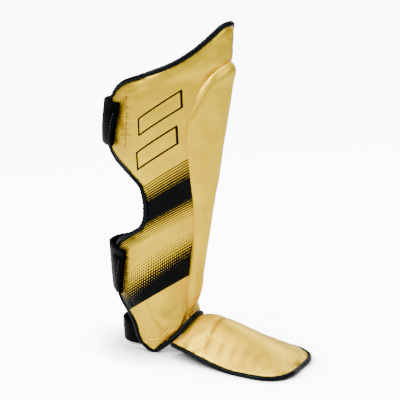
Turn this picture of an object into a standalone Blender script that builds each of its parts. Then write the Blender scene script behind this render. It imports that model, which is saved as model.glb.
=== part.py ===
"""A shin and instep guard for one leg: a padded shell with straps, and a hinged pad over the foot.

The toe points along +X, the near side is -Y, and +Z is up. The origin is on the floor, at the
middle of the guard's outline from above. Every layer of the shell is the same leg section, grown
or shrunk by its lift.
"""

import math
from collections import namedtuple

import bmesh
import bpy
import numpy as np

MM = 0.001

# Driving sizes
GUARD_HEIGHT = 381 * MM
LEG_DEPTH = 150 * MM
CALF_HALF_WIDTH = 58 * MM
SHELL_WALL = 6 * MM
SHELL_EDGE_WALL = 4 * MM
FRONT_SQUARENESS = 1.6
CLEARANCE = 0.75 * MM

PAD_RISE = 8 * MM
PAD_RIDGE = 3 * MM
PAD_EDGE = 1.2 * MM
PAD_SHOULDER = 0.2
PAD_END_SHOULDER = 0.06

SHELL_BINDING_RADIUS = 3.2 * MM
INSTEP_BINDING_RADIUS = 2.8 * MM

INSTEP_LENGTH = 139 * MM
INSTEP_HALF_WIDTH = 53 * MM
INSTEP_CROWN = 43 * MM
INSTEP_START = 0.272 * LEG_DEPTH
INSTEP_WALL = 8 * MM
INSTEP_EDGE_WALL = 3.5 * MM
INSTEP_RIDGE_ROUND = 0.35
INSTEP_SWING = -12 * MM
HINGE_SWEEP = 9 * MM
HINGE_SWEEP_CURVE = 3.5
HINGE_SWEEP_FADE = 6

STRAP_THICKNESS = 2.6 * MM
STRAP_CLEARANCE = 1.4 * MM
UPPER_STRAP_WIDTH = 51.5 * MM
LOWER_STRAP_WIDTH = 56 * MM
HEEL_STRAP_WIDTH = 27 * MM
HEEL_STRAP_BULGE = 6 * MM

# The leg form, from floor to top. Heights are shares of GUARD_HEIGHT. The calf line behind, the
# widest place and the shin line in front are shares of LEG_DEPTH, and half_width of CALF_HALF_WIDTH.
LegSection = namedtuple("LegSection", "height calf widest shin half_width")
LEG_SECTIONS = (
    LegSection(0.000, -0.327, 0.020, 0.335, 0.640),
    LegSection(0.052, -0.333, 0.025, 0.330, 0.710),
    LegSection(0.115, -0.335, 0.020, 0.303, 0.730),
    LegSection(0.136, -0.345, 0.016, 0.256, 0.735),
    LegSection(0.163, -0.375, 0.013, 0.240, 0.742),
    LegSection(0.199, -0.392, 0.013, 0.252, 0.752),
    LegSection(0.262, -0.403, 0.013, 0.279, 0.767),
    LegSection(0.459, -0.432, 0.020, 0.357, 0.845),
    LegSection(0.693, -0.452, 0.040, 0.450, 0.966),
    LegSection(0.761, -0.425, 0.044, 0.484, 0.980),
    LegSection(0.845, -0.400, 0.047, 0.518, 0.991),
    LegSection(0.906, -0.400, 0.050, 0.566, 1.000),
    LegSection(1.000, -0.395, 0.053, 0.583, 1.000),
)

# How far back each wing reaches: shares of GUARD_HEIGHT and of LEG_DEPTH.
WingEdge = namedtuple("WingEdge", "height reach")
WING_EDGE = (
    WingEdge(0.000, 0.020),
    WingEdge(0.038, -0.045),
    WingEdge(0.094, -0.090),
    WingEdge(0.121, -0.150),
    WingEdge(0.147, -0.232),
    WingEdge(0.172, -0.275),
    WingEdge(0.262, -0.275),
    WingEdge(0.322, -0.260),
    WingEdge(0.338, -0.232),
    WingEdge(0.351, -0.182),
    WingEdge(0.367, -0.095),
    WingEdge(0.386, -0.008),
    WingEdge(0.432, 0.050),
    WingEdge(0.472, 0.056),
    WingEdge(0.531, 0.032),
    WingEdge(0.564, -0.048),
    WingEdge(0.596, -0.158),
    WingEdge(0.626, -0.262),
    WingEdge(0.648, -0.305),
    WingEdge(0.693, -0.315),
    WingEdge(0.782, -0.285),
)

# Bottom and top edges from the front of the shin to the rear of a wing: shares of GUARD_HEIGHT.
HemPlace = namedtuple("HemPlace", "round_share bottom top")
HEMS = (
    HemPlace(0.00, 0.1210, 1.0000),
    HemPlace(0.13, 0.1180, 0.9970),
    HemPlace(0.28, 0.1070, 0.9630),
    HemPlace(0.41, 0.0830, 0.9230),
    HemPlace(0.56, 0.0545, 0.8810),
    HemPlace(0.75, 0.0260, 0.8490),
    HemPlace(0.85, 0.0150, 0.8350),
    HemPlace(0.92, 0.0140, 0.8190),
    HemPlace(1.00, 0.0140, 0.7950),
)
MITRE_LIMIT = 0.6
RIM_INSET = 0.96
SMALL_STEP = 0.01
CORNER_ROUND = 0.12
CORNER_UP = 0.05
MIDDLE_WRAP = 95

# How wide the thinner bands along the edges are, as shares across and along each sheet.
SIDE_BAND = 0.08
HEM_BAND = 0.03
INSTEP_SIDE_BAND = 0.22
INSTEP_HINGE_BAND = 0.08
INSTEP_TOE_BAND = 0.20

# The raised pad's half-width, as a share of CALF_HALF_WIDTH, by share of GUARD_HEIGHT.
PadWidth = namedtuple("PadWidth", "height half_width")
PAD_WIDTHS = (
    PadWidth(0.12, 0.160),
    PadWidth(0.31, 0.205),
    PadWidth(0.42, 0.270),
    PadWidth(0.54, 0.430),
    PadWidth(0.62, 0.530),
    PadWidth(0.71, 0.605),
    PadWidth(1.00, 0.615),
)
PAD_BOTTOM = 0.137 * GUARD_HEIGHT
PAD_BOTTOM_SIDE = 0.131 * GUARD_HEIGHT
PAD_SIDE_TOP = 0.735 * GUARD_HEIGHT
PAD_TOP = 0.902 * GUARD_HEIGHT

# The instep pad from its hinge to its toe. length is a share of INSTEP_LENGTH, half_width of
# INSTEP_HALF_WIDTH, and the heights of its crown and of its side edges are shares of INSTEP_CROWN.
InstepSection = namedtuple("InstepSection", "length half_width crown edge")
INSTEP_SECTIONS = (
    InstepSection(0.000, 0.670, 0.830, 0.360),
    InstepSection(0.050, 0.760, 0.985, 0.360),
    InstepSection(0.100, 0.825, 1.020, 0.360),
    InstepSection(0.190, 0.890, 1.020, 0.290),
    InstepSection(0.350, 0.960, 0.920, 0.175),
    InstepSection(0.600, 1.020, 0.680, 0.080),
    InstepSection(0.800, 0.980, 0.495, 0.080),
    InstepSection(0.900, 0.870, 0.385, 0.080),
    InstepSection(0.965, 0.700, 0.280, 0.090),
    InstepSection(1.000, 0.450, 0.200, 0.100),
)
TOE_EASE = 1.45

# Straps. bottom is the height of a strap's lower edge at its laps and rise is how much higher it
# is behind the leg. The angles say how far round from the shin its ends start, in degrees. side is
# 1 outside the wings and -1 inside them, and bulge is how much further out it is behind the leg.
Strap = namedtuple("Strap", "name bottom width rise near_low near_high far side bulge")
STRAPS = (
    Strap("upper_calf_strap", 0.645 * GUARD_HEIGHT, UPPER_STRAP_WIDTH, 0, 123, 113, 98, 1, 0),
    Strap("lower_calf_strap", 0.176 * GUARD_HEIGHT, LOWER_STRAP_WIDTH, 2 * MM, 126, 112, 95, 1, 0),
    Strap("heel_strap", 0.0105 * GUARD_HEIGHT, HEEL_STRAP_WIDTH, 0, 82, 82, 82, -1, HEEL_STRAP_BULGE),
)
BULGE_START = 0.45
BULGE_END = 0.85

# Hinge tabs inside the hem: where each starts and ends round the leg, and its heights.
TAB_ANGLES = (44, 54)
TAB_BOTTOM = 0.026 * GUARD_HEIGHT
TAB_HEIGHT = 14 * MM
TAB_THICKNESS = 1.6 * MM

Finish = namedtuple("Finish", "name colour roughness")
GOLD = Finish("gold_leatherette", (0.72, 0.52, 0.20, 1), 0.42)
BLACK_TAPE = Finish("black_binding_tape", (0.012, 0.014, 0.018, 1), 0.55)
BLACK_WEBBING = Finish("black_elastic_webbing", (0.016, 0.018, 0.022, 1), 0.75)


def smooth_curve(places, values):
    """A smooth curve through the values, which never overshoots between two of them."""
    places = np.array(places, float)
    values = np.array(values, float)
    steps = np.diff(places)
    rises = np.diff(values) / steps
    slopes = np.concatenate([rises[:1], np.zeros(len(rises) - 1), rises[-1:]])
    for i in range(1, len(rises)):
        if rises[i - 1] * rises[i] > 0:
            slopes[i] = 2 * rises[i - 1] * rises[i] / (rises[i - 1] + rises[i])

    def at(place):
        i = int(np.clip(np.searchsorted(places, place) - 1, 0, len(steps) - 1))
        t = float(np.clip((place - places[i]) / steps[i], 0, 1))
        start = (1 + 2 * t) * (1 - t) ** 2 * values[i] + t * (1 - t) ** 2 * steps[i] * slopes[i]
        end = t * t * (3 - 2 * t) * values[i + 1] - t * t * (1 - t) * steps[i] * slopes[i + 1]
        return start + end

    return at


def column_curve(table, column, unit, place_unit=1.0):
    """One column of a table as a smooth curve along the table's first column."""
    places = [row[0] * place_unit for row in table]
    return smooth_curve(places, [getattr(row, column) * unit for row in table])


calf_line = column_curve(LEG_SECTIONS, "calf", LEG_DEPTH, place_unit=GUARD_HEIGHT)
widest_line = column_curve(LEG_SECTIONS, "widest", LEG_DEPTH, place_unit=GUARD_HEIGHT)
shin_line = column_curve(LEG_SECTIONS, "shin", LEG_DEPTH, place_unit=GUARD_HEIGHT)
half_width_line = column_curve(LEG_SECTIONS, "half_width", CALF_HALF_WIDTH, place_unit=GUARD_HEIGHT)
wing_line = column_curve(WING_EDGE, "reach", LEG_DEPTH, place_unit=GUARD_HEIGHT)
hem_bottom = column_curve(HEMS, "bottom", GUARD_HEIGHT)
hem_top = column_curve(HEMS, "top", GUARD_HEIGHT)
pad_half_width = column_curve(PAD_WIDTHS, "half_width", CALF_HALF_WIDTH, place_unit=GUARD_HEIGHT)
instep_half_width = column_curve(INSTEP_SECTIONS, "half_width", INSTEP_HALF_WIDTH)
instep_crown = column_curve(INSTEP_SECTIONS, "crown", INSTEP_CROWN)
instep_edge = column_curve(INSTEP_SECTIONS, "edge", INSTEP_CROWN)


def leg_point(angle, height, lift):
    """A point of the leg form. The angle is 0 at the shin and grows towards the far side."""
    turn = math.cos(angle)
    side = math.sin(angle)
    power = 2 / FRONT_SQUARENESS if turn > 0 else 1
    middle = widest_line(height)
    reach = (shin_line(height) - middle if turn > 0 else middle - calf_line(height)) + lift
    width = half_width_line(height) + lift
    x = middle + math.copysign(reach * abs(turn) ** power, turn)
    y = math.copysign(width * abs(side) ** power, side)
    return np.array((x, y, height))


def wing_angle(height):
    """How far round from the shin the wings reach at a height."""
    middle = widest_line(height)
    reach = wing_line(height) - middle
    if reach > 0:
        return math.acos((reach / (shin_line(height) - middle)) ** (FRONT_SQUARENESS / 2))
    return math.acos(reach / (middle - calf_line(height)))


def rounded_corner(across, up):
    """Moves places near the sheet's four corners inwards, so that its outline turns in an arc."""
    p = max(0.0, (abs(across) - 1 + CORNER_ROUND) / CORNER_ROUND)
    from_middle = abs(2 * up - 1)
    q = max(0.0, (from_middle - 1 + 2 * CORNER_UP) / (2 * CORNER_UP))
    p_round = p * math.sqrt(1 - q * q / 2)
    q_round = q * math.sqrt(1 - p * p / 2)
    if p > 0:
        across = math.copysign(1 - CORNER_ROUND + p_round * CORNER_ROUND, across)
    if q > 0:
        from_middle = 1 - 2 * CORNER_UP + q_round * 2 * CORNER_UP
    return across, (1 + math.copysign(from_middle, 2 * up - 1)) / 2


def shell_point(across, up, lift):
    """A point of the shell's sheet: across is -1 to 1 from wing to wing, up is 0 to 1."""
    across, up = rounded_corner(across, up)
    low = hem_bottom(abs(across))
    high = hem_top(abs(across))
    height = low + up * (high - low)
    outward = math.radians(MIDDLE_WRAP)
    angle = abs(across) * outward + abs(across) ** 3 * (wing_angle(height) - outward)
    return leg_point(math.copysign(angle, across), height, lift)


def edge_fade(share, band):
    """0 on an edge and 1 from a band's width inwards."""
    return min(1.0, max(0.0, share / band))


def shell_lift(across, up):
    """Half of the shell's wall, which thins towards its bound edge."""
    fade = min(edge_fade(1 - abs(across), SIDE_BAND), edge_fade(min(up, 1 - up), HEM_BAND))
    return (SHELL_EDGE_WALL + (SHELL_WALL - SHELL_EDGE_WALL) * fade) / 2


def pad_point(across, up, lift):
    """A point of the raised pad: a long tongue whose top is an arch."""
    low = PAD_BOTTOM + (PAD_BOTTOM_SIDE - PAD_BOTTOM) * across * across
    high = PAD_SIDE_TOP + (PAD_TOP - PAD_SIDE_TOP) * math.sqrt(max(0.0, 1 - across * across))
    height = low + up * (high - low)
    share = pad_half_width(height) / half_width_line(height)
    return leg_point(across * math.asin(share ** (FRONT_SQUARENESS / 2)), height, lift)


def shoulder_spread(grid_place, outer_cell, shoulder):
    """Moves the outermost grid line to the inner side of a shoulder."""
    inner = 1 - outer_cell
    if abs(grid_place) <= inner + 1e-6:
        return grid_place * (1 - shoulder) / inner
    past = (abs(grid_place) - inner) / outer_cell
    return math.copysign(1 - shoulder + past * shoulder, grid_place)


def instep_point(across, along, lift):
    """A point of the instep pad: an arch across the foot, whose toe swings to the near side.

    The corners of its hinge edge sweep back to meet the shell's hem."""
    share = 1 - (1 - along) ** TOE_EASE
    width = instep_half_width(share)
    crown = instep_crown(share) - INSTEP_WALL / 2
    edge = instep_edge(share)
    ridge = math.hypot(across, INSTEP_RIDGE_ROUND)
    fall = math.hypot(1, INSTEP_RIDGE_ROUND) - INSTEP_RIDGE_ROUND
    sweep = HINGE_SWEEP * abs(across) ** HINGE_SWEEP_CURVE * (1 - share) ** HINGE_SWEEP_FADE
    x = INSTEP_START + share * INSTEP_LENGTH - sweep
    z = edge + (crown - edge) * (1 - (ridge - INSTEP_RIDGE_ROUND) / fall)
    slope = (crown - edge) * across / ridge / fall / width
    out = np.array((0.0, slope, 1.0))
    y = width * across + INSTEP_SWING * share * share
    return np.array((x, y, z)) + out / np.linalg.norm(out) * lift


def instep_lift(across, along):
    """Half of the instep's wall, which thins towards its edges."""
    from_side = edge_fade(1 - abs(across), INSTEP_SIDE_BAND)
    fade = min(from_side, edge_fade(along, INSTEP_HINGE_BAND), edge_fade(1 - along, INSTEP_TOE_BAND))
    return (INSTEP_EDGE_WALL + (INSTEP_WALL - INSTEP_EDGE_WALL) * fade) / 2


def object_from(mesh_maker, name, finish):
    """Puts a bmesh in a named object with its own material."""
    mesh = bpy.data.meshes.new(name)
    mesh_maker.to_mesh(mesh)
    mesh_maker.free()
    obj = bpy.data.objects.new(name, mesh)
    material = bpy.data.materials.new(f"{name}_{finish.name}")
    material.use_nodes = True
    shader = material.node_tree.nodes["Principled BSDF"]
    shader.inputs["Base Color"].default_value = finish.colour
    shader.inputs["Roughness"].default_value = finish.roughness
    mesh.materials.append(material)
    mesh.shade_smooth()
    guard.objects.link(obj)
    return obj


def face_outwards(maker):
    """Turns a closed bmesh's faces outwards."""
    bmesh.ops.recalc_face_normals(maker, faces=maker.faces[:])
    if maker.calc_volume(signed=True) < 0:
        bmesh.ops.reverse_faces(maker, faces=maker.faces[:])


def padded_sheet(name, finish, columns, rows, inner_point, outer_point):
    """A closed sheet: a grid and its extruded copy, each moved to its own face of the sheet."""
    maker = bmesh.new()
    bmesh.ops.create_grid(maker, x_segments=columns, y_segments=rows, size=1)
    copied = bmesh.ops.extrude_face_region(maker, geom=maker.faces[:])
    outer = {part for part in copied["geom"] if isinstance(part, bmesh.types.BMVert)}
    for vertex in maker.verts:
        across = vertex.co.x
        up = (vertex.co.y + 1) / 2
        vertex.co = outer_point(across, up) if vertex in outer else inner_point(across, up)
    face_outwards(maker)
    return object_from(maker, name, finish)


def rim_places(columns, rows, whole):
    """Places along a sheet's rim. A rim that isn't whole leaves out the bottom edge."""
    across_steps = [2 * i / columns - 1 for i in range(columns + 1)]
    up_steps = [i / rows for i in range(rows + 1)]
    places = [(1.0, up) for up in up_steps[:-1]]
    places += [(across, 1.0) for across in reversed(across_steps[1:])]
    places += [(-1.0, up) for up in reversed(up_steps)]
    if whole:
        places = places[:-1] + [(across, 0.0) for across in across_steps[:-1]]
    return places


def rim_line(sheet_point, places, offset, whole):
    """A line round a sheet, this far outside its rim and in line with the sheet's surface."""
    rim = [sheet_point(across, up, 0) for across, up in places]
    line = []
    for i, (across, up) in enumerate(places):
        before = rim[i - 1] if whole or i > 0 else rim[i]
        after = rim[(i + 1) % len(rim)] if whole or i < len(rim) - 1 else rim[i]
        inset = across * RIM_INSET
        upward = 0.5 + (up - 0.5) * RIM_INSET
        middle = sheet_point(inset, upward, 0)
        sideways = sheet_point(inset + SMALL_STEP, upward, 0) - middle
        normal = np.cross(sideways, sheet_point(inset, upward + SMALL_STEP / 2, 0) - middle)
        tangent = after - before
        out = np.cross(tangent, normal)
        leg = rim[i] - before if np.any(rim[i] != before) else tangent
        turn = np.dot(leg, tangent) / np.linalg.norm(leg) / np.linalg.norm(tangent)
        line.append(rim[i] + out / np.linalg.norm(out) * offset / max(turn, MITRE_LIMIT))
    return line


def bound_edge(name, line, radius, whole):
    """A binding tape as a tube along a line, pressed flat where it stands on the floor."""
    curve = bpy.data.curves.new(f"{name}_line", "CURVE")
    curve.dimensions = "3D"
    curve.bevel_depth = radius
    curve.bevel_resolution = 1
    curve.use_fill_caps = True
    spline = curve.splines.new("POLY")
    spline.points.add(len(line) - 1)
    for place, point in zip(spline.points, line):
        place.co = (*point, 1)
    spline.use_cyclic_u = whole
    guide = bpy.data.objects.new(f"{name}_line", curve)
    guard.objects.link(guide)
    bpy.context.view_layer.update()
    evaluated = guide.evaluated_get(bpy.context.evaluated_depsgraph_get())
    tube = bpy.data.meshes.new_from_object(evaluated)
    maker = bmesh.new()
    maker.from_mesh(tube)
    bmesh.ops.remove_doubles(maker, verts=maker.verts[:], dist=WELD_DISTANCE)
    for vertex in maker.verts:
        vertex.co.z = max(vertex.co.z, 0.0)
    face_outwards(maker)
    bpy.data.meshes.remove(tube)
    bpy.data.objects.remove(guide)
    return object_from(maker, name, BLACK_TAPE)


SHELL_COLUMNS = 26
SHELL_ROWS = 42
PAD_COLUMNS = 12
PAD_ROWS = 26
INSTEP_COLUMNS = 12
INSTEP_ROWS = 20
STRAP_COLUMNS = 32
STRAP_ROWS = 3
TAB_COLUMNS = 4
TAB_ROWS = 2
WELD_DISTANCE = 0.01 * MM


def make_shell():
    def inner(across, up):
        return shell_point(across, up, -shell_lift(across, up))

    def outer(across, up):
        return shell_point(across, up, shell_lift(across, up))

    padded_sheet("shin_shell", GOLD, SHELL_COLUMNS, SHELL_ROWS, inner, outer)
    places = rim_places(SHELL_COLUMNS, SHELL_ROWS, True)
    line = rim_line(shell_point, places, SHELL_BINDING_RADIUS + CLEARANCE, True)
    bound_edge("shell_binding", line, SHELL_BINDING_RADIUS, True)


def make_ridge_pad():
    seat = SHELL_WALL / 2 + CLEARANCE

    def place(across, up):
        across = shoulder_spread(across, 2 / PAD_COLUMNS, PAD_SHOULDER)
        return across, (1 + shoulder_spread(2 * up - 1, 2 / PAD_ROWS, PAD_END_SHOULDER)) / 2

    def inner(across, up):
        across, up = place(across, up)
        return pad_point(across, up, seat)

    def outer(across, up):
        across, up = place(across, up)
        from_end = 2 * min(up, 1 - up)
        rim = min(edge_fade(1 - abs(across), PAD_SHOULDER), edge_fade(from_end, PAD_END_SHOULDER))
        ridge = PAD_RIDGE * max(0.0, 1 - abs(across) / (1 - PAD_SHOULDER))
        return pad_point(across, up, seat + PAD_EDGE + (PAD_RISE - PAD_EDGE + ridge) * rim)

    padded_sheet("shin_ridge_pad", GOLD, PAD_COLUMNS, PAD_ROWS, inner, outer)


def make_instep():
    def inner(across, along):
        return instep_point(across, along, -instep_lift(across, along))

    def outer(across, along):
        return instep_point(across, along, instep_lift(across, along))

    padded_sheet("instep_pad", GOLD, INSTEP_COLUMNS, INSTEP_ROWS, inner, outer)
    places = rim_places(INSTEP_COLUMNS, INSTEP_ROWS, False)
    line = rim_line(instep_point, places, INSTEP_BINDING_RADIUS + CLEARANCE, False)
    bound_edge("instep_binding", line, INSTEP_BINDING_RADIUS, False)


def make_strap(strap):
    """A band round the back of the leg, outside the wings or, for side -1, inside them."""
    clearance = STRAP_CLEARANCE if strap.side > 0 else CLEARANCE
    seat = strap.side * (SHELL_BINDING_RADIUS + clearance + STRAP_THICKNESS / 2)

    def place(across, up, depth):
        start = -(strap.near_low + up * (strap.near_high - strap.near_low))
        share = (across + 1) / 2
        angle = math.radians(start - share * (360 + start - strap.far))
        behind = math.sin(share * math.pi)
        out = np.clip((behind - BULGE_START) / (BULGE_END - BULGE_START), 0, 1)
        lift = seat + strap.bulge * out * out * (3 - 2 * out) + depth
        return leg_point(angle, strap.bottom + strap.rise * behind + up * strap.width, lift)

    padded_sheet(
        strap.name,
        BLACK_WEBBING,
        STRAP_COLUMNS,
        STRAP_ROWS,
        lambda across, up: place(across, up, -STRAP_THICKNESS / 2),
        lambda across, up: place(across, up, STRAP_THICKNESS / 2),
    )


def make_tab(name, side):
    """A short tab inside the hem, beside the instep's corner."""
    start, end = TAB_ANGLES
    lift = -(SHELL_BINDING_RADIUS + CLEARANCE)

    def place(across, up, depth):
        angle = math.radians(start + (across + 1) / 2 * (end - start)) * side
        return leg_point(angle, TAB_BOTTOM + up * TAB_HEIGHT, lift - depth)

    padded_sheet(
        name,
        BLACK_WEBBING,
        TAB_COLUMNS,
        TAB_ROWS,
        lambda across, up: place(across, up, TAB_THICKNESS),
        lambda across, up: place(across, up, 0.0),
    )


def stand_on_origin():
    """Moves every piece so that the origin is on the floor, in the middle of the outline."""
    points = np.array([v.co for obj in guard.objects for v in obj.data.vertices])
    middle = (points.min(axis=0) + points.max(axis=0)) / 2
    for obj in guard.objects:
        for vertex in obj.data.vertices:
            vertex.co.x -= middle[0]
            vertex.co.y -= middle[1]


for old in list(bpy.data.objects):
    bpy.data.objects.remove(old)

guard = bpy.data.collections.new("shin_and_instep_guard")
bpy.context.scene.collection.children.link(guard)

make_shell()
make_ridge_pad()
make_instep()
for band in STRAPS:
    make_strap(band)
make_tab("hinge_tab_near", -1)
make_tab("hinge_tab_far", 1)
stand_on_origin()
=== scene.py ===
# %% [markdown]
# # A shin and instep guard
# This guard is worn in kicking sports. A padded shell of gold leatherette wraps the front of the
# leg, a raised foam ridge guards the bone, and a leaf-shaped pad hangs over the foot. Black tape
# binds the raw edges and three black elastic straps close round the calf and the heel.
#
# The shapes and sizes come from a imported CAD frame. Each piece below starts as a copy of its CAD
# node, so it sits exactly where the frame says, and then gets the softness, seams and finish that
# a CAD solid doesn't carry.

import math

import bpy
import numpy as np
from mathutils import Matrix, Vector
from mathutils.bvhtree import BVHTree


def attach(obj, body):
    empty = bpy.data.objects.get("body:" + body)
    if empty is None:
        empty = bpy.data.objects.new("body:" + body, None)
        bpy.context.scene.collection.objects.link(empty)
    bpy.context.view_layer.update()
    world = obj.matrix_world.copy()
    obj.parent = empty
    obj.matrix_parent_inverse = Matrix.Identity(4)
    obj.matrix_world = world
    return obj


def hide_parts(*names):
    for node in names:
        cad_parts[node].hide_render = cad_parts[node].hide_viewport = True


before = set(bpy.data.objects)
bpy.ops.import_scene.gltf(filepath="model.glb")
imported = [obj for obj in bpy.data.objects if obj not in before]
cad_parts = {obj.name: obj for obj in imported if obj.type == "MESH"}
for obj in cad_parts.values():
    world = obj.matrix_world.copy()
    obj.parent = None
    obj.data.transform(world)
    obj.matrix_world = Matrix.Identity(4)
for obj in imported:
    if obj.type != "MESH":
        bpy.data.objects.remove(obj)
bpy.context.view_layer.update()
MM = 0.001
print("pieces of the frame:", sorted(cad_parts))

# %% [markdown]
# ## The camera
# A product picture like this one is taken from a little above and a little in front of the side,
# with a long lens, so that the upright shell doesn't lean. The camera stands on a circle round the
# middle of the guard. A small shift puts the guard where it sits in the picture without turning
# the camera, which would tilt the verticals.

# %% Set up the camera
LOOK_AT = Vector((0.0, 0.0, 0.190))
CAMERA_AZIMUTH = math.radians(27.0)
CAMERA_ELEVATION = math.radians(11.9)
CAMERA_DISTANCE = 1.25
FOCAL_LENGTH_MM = 97.2
SENSOR_MM = 36.0
SHIFT = (-0.0115, -0.0175)

camera_data = bpy.data.cameras.new("camera")
camera_data.lens = FOCAL_LENGTH_MM
camera_data.sensor_width = SENSOR_MM
camera_data.shift_x, camera_data.shift_y = SHIFT
camera = bpy.data.objects.new("camera", camera_data)
bpy.context.scene.collection.objects.link(camera)
towards_camera = Vector((
    math.sin(CAMERA_AZIMUTH) * math.cos(CAMERA_ELEVATION),
    -math.cos(CAMERA_AZIMUTH) * math.cos(CAMERA_ELEVATION),
    math.sin(CAMERA_ELEVATION),
))
camera.location = LOOK_AT + CAMERA_DISTANCE * towards_camera
camera.rotation_euler = (-towards_camera).to_track_quat("-Z", "Y").to_euler()
bpy.context.scene.camera = camera
print("camera at", tuple(round(c, 3) for c in camera.location))

# %% [markdown]
# ## A small white studio
# The picture has a white ground and almost no hard shadow. That look comes from a pale floor, a
# pale sky that fills the shadows, and a few large lamps. A large lamp gives wide soft highlights,
# which is what tells the eye that the leatherette is satin and not matt. The floor glows for the
# camera alone, and ambient occlusion dims that glow near the guard, so it is white with a painted
# soft shadow at each contact.

# %% Light the studio
FLOOR_SIZE = 30.0
FLOOR_COLOUR = (0.90, 0.90, 0.90, 1)
SKY_COLOUR = (0.98, 0.99, 1.0, 1)
SKY_STRENGTH = 0.35
SKY_SEEN_STRENGTH = 11.0
FLOOR_GLOW = 10.0
SHADOW_REACH = 0.060
SHADOW_SHARPNESS = 5.0
SHADOW_SAMPLES = 8


def deselect_all():
    """Leaves nothing selected, because an operator acts on all that is."""
    for obj in bpy.context.selected_objects:
        obj.select_set(False)


def take(obj):
    """Selects one object alone and makes it the active one."""
    deselect_all()
    obj.select_set(True)
    bpy.context.view_layer.objects.active = obj


deselect_all()
bpy.ops.mesh.primitive_plane_add(size=FLOOR_SIZE, location=(0, 0, 0))
floor = bpy.context.active_object
floor.name = "studio_floor"
bpy.ops.object.mode_set(mode="EDIT")
bpy.ops.mesh.subdivide(number_cuts=4)
bpy.ops.object.mode_set(mode="OBJECT")
floor_material = bpy.data.materials.new("studio_floor")
floor_material.use_nodes = True
floor_shader = floor_material.node_tree.nodes["Principled BSDF"]
floor_shader.inputs["Base Color"].default_value = FLOOR_COLOUR
floor_shader.inputs["Roughness"].default_value = 0.9
floor_shader.inputs["Specular IOR Level"].default_value = 0.1
floor_tree = floor_material.node_tree
# Painted contact shadow: ambient occlusion dims the floor's camera-only glow where the guard is near.
seen_floor = floor_tree.nodes.new("ShaderNodeLightPath")
openness = floor_tree.nodes.new("ShaderNodeAmbientOcclusion")
openness.inputs["Distance"].default_value = SHADOW_REACH
openness.samples = SHADOW_SAMPLES
falloff = floor_tree.nodes.new("ShaderNodeMath")
falloff.operation = "POWER"
falloff.inputs[1].default_value = SHADOW_SHARPNESS
glow = floor_tree.nodes.new("ShaderNodeMath")
glow.operation = "MULTIPLY"
shown = floor_tree.nodes.new("ShaderNodeMath")
shown.operation = "MULTIPLY"
shown.inputs[1].default_value = FLOOR_GLOW
floor_tree.links.new(openness.outputs["AO"], falloff.inputs[0])
floor_tree.links.new(falloff.outputs[0], glow.inputs[0])
floor_tree.links.new(seen_floor.outputs["Is Camera Ray"], glow.inputs[1])
floor_tree.links.new(glow.outputs[0], shown.inputs[0])
floor_tree.links.new(shown.outputs[0], floor_shader.inputs["Emission Strength"])
floor_shader.inputs["Emission Color"].default_value = (1, 1, 1, 1)
floor.data.materials.append(floor_material)

sky = bpy.data.worlds.new("studio_sky")
sky.use_nodes = True
sky_tree = sky.node_tree
background = sky_tree.nodes["Background"]
background.inputs["Color"].default_value = SKY_COLOUR
sky_strength = sky_tree.nodes.new("ShaderNodeMapRange")
sky_strength.inputs["To Min"].default_value = SKY_STRENGTH
sky_strength.inputs["To Max"].default_value = SKY_SEEN_STRENGTH
seen_sky = sky_tree.nodes.new("ShaderNodeLightPath")
sky_tree.links.new(seen_sky.outputs["Is Camera Ray"], sky_strength.inputs["Value"])
sky_tree.links.new(sky_strength.outputs["Result"], background.inputs["Strength"])
bpy.context.scene.world = sky


def soft_lamp(name, azimuth, elevation, distance, size, power):
    """A square area lamp that looks at the middle of the guard."""
    light = bpy.data.lights.new(name, "AREA")
    light.shape = "SQUARE"
    light.size = size
    light.energy = power
    lamp = bpy.data.objects.new(name, light)
    bpy.context.scene.collection.objects.link(lamp)
    turn = math.radians(azimuth)
    rise = math.radians(elevation)
    away = Vector((
        math.sin(turn) * math.cos(rise),
        -math.cos(turn) * math.cos(rise),
        math.sin(rise),
    ))
    lamp.location = LOOK_AT + distance * away
    lamp.rotation_euler = away.to_track_quat("Z", "Y").to_euler()


# Each lamp's azimuth and elevation in degrees, distance and size in metres, and power in watts. The
# last one stands behind, where the top of the instep mirrors it towards the camera.
LAMPS = (
    ("key_lamp", -30, 44, 1.6, 0.8, 29),
    ("front_lamp", 70, 35, 1.8, 0.8, 9),
    ("top_lamp", 10, 80, 1.6, 1.0, 25),
    ("toe_lamp", 172, 34, 1.6, 1.2, 14),
)
for lamp_values in LAMPS:
    soft_lamp(*lamp_values)
print("studio ready with", len(bpy.data.lights), "lamps")

# %% [markdown]
# ## Working copies of the frame's pieces
# Every soft piece starts as a copy of its CAD node. The node's mesh is loose triangles, so the copy
# is merged and its triangles are joined back into the four-sided faces that a Subdivision Surface
# likes. The modifier then rounds the facets. Edges that have to stay, such as the rim of a strap,
# are creased first, because the modifier would melt them.

# %% Copy and refine a frame piece
MERGE_DISTANCE = 0.01 * MM
QUAD_FACE_ANGLE = math.radians(60)
QUAD_SHAPE_ANGLE = math.radians(180)
SHARP_EDGE = math.radians(50)
COVER_CREASE = 0.9


def working_copy(node, name):
    """A merged copy of a CAD node in four-sided faces, in a new object that stands for the node."""
    piece = bpy.data.objects.new(name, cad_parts[node].data.copy())
    bpy.context.scene.collection.objects.link(piece)
    piece.data.materials.clear()
    take(piece)
    bpy.ops.object.mode_set(mode="EDIT")
    bpy.ops.mesh.select_all(action="SELECT")
    bpy.ops.mesh.remove_doubles(threshold=MERGE_DISTANCE)
    bpy.ops.mesh.tris_convert_to_quads(
        face_threshold=QUAD_FACE_ANGLE,
        shape_threshold=QUAD_SHAPE_ANGLE,
        topology_influence=2.0,
    )
    bpy.ops.object.mode_set(mode="OBJECT")
    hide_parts(node)
    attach(piece, "root")
    return piece


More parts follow.
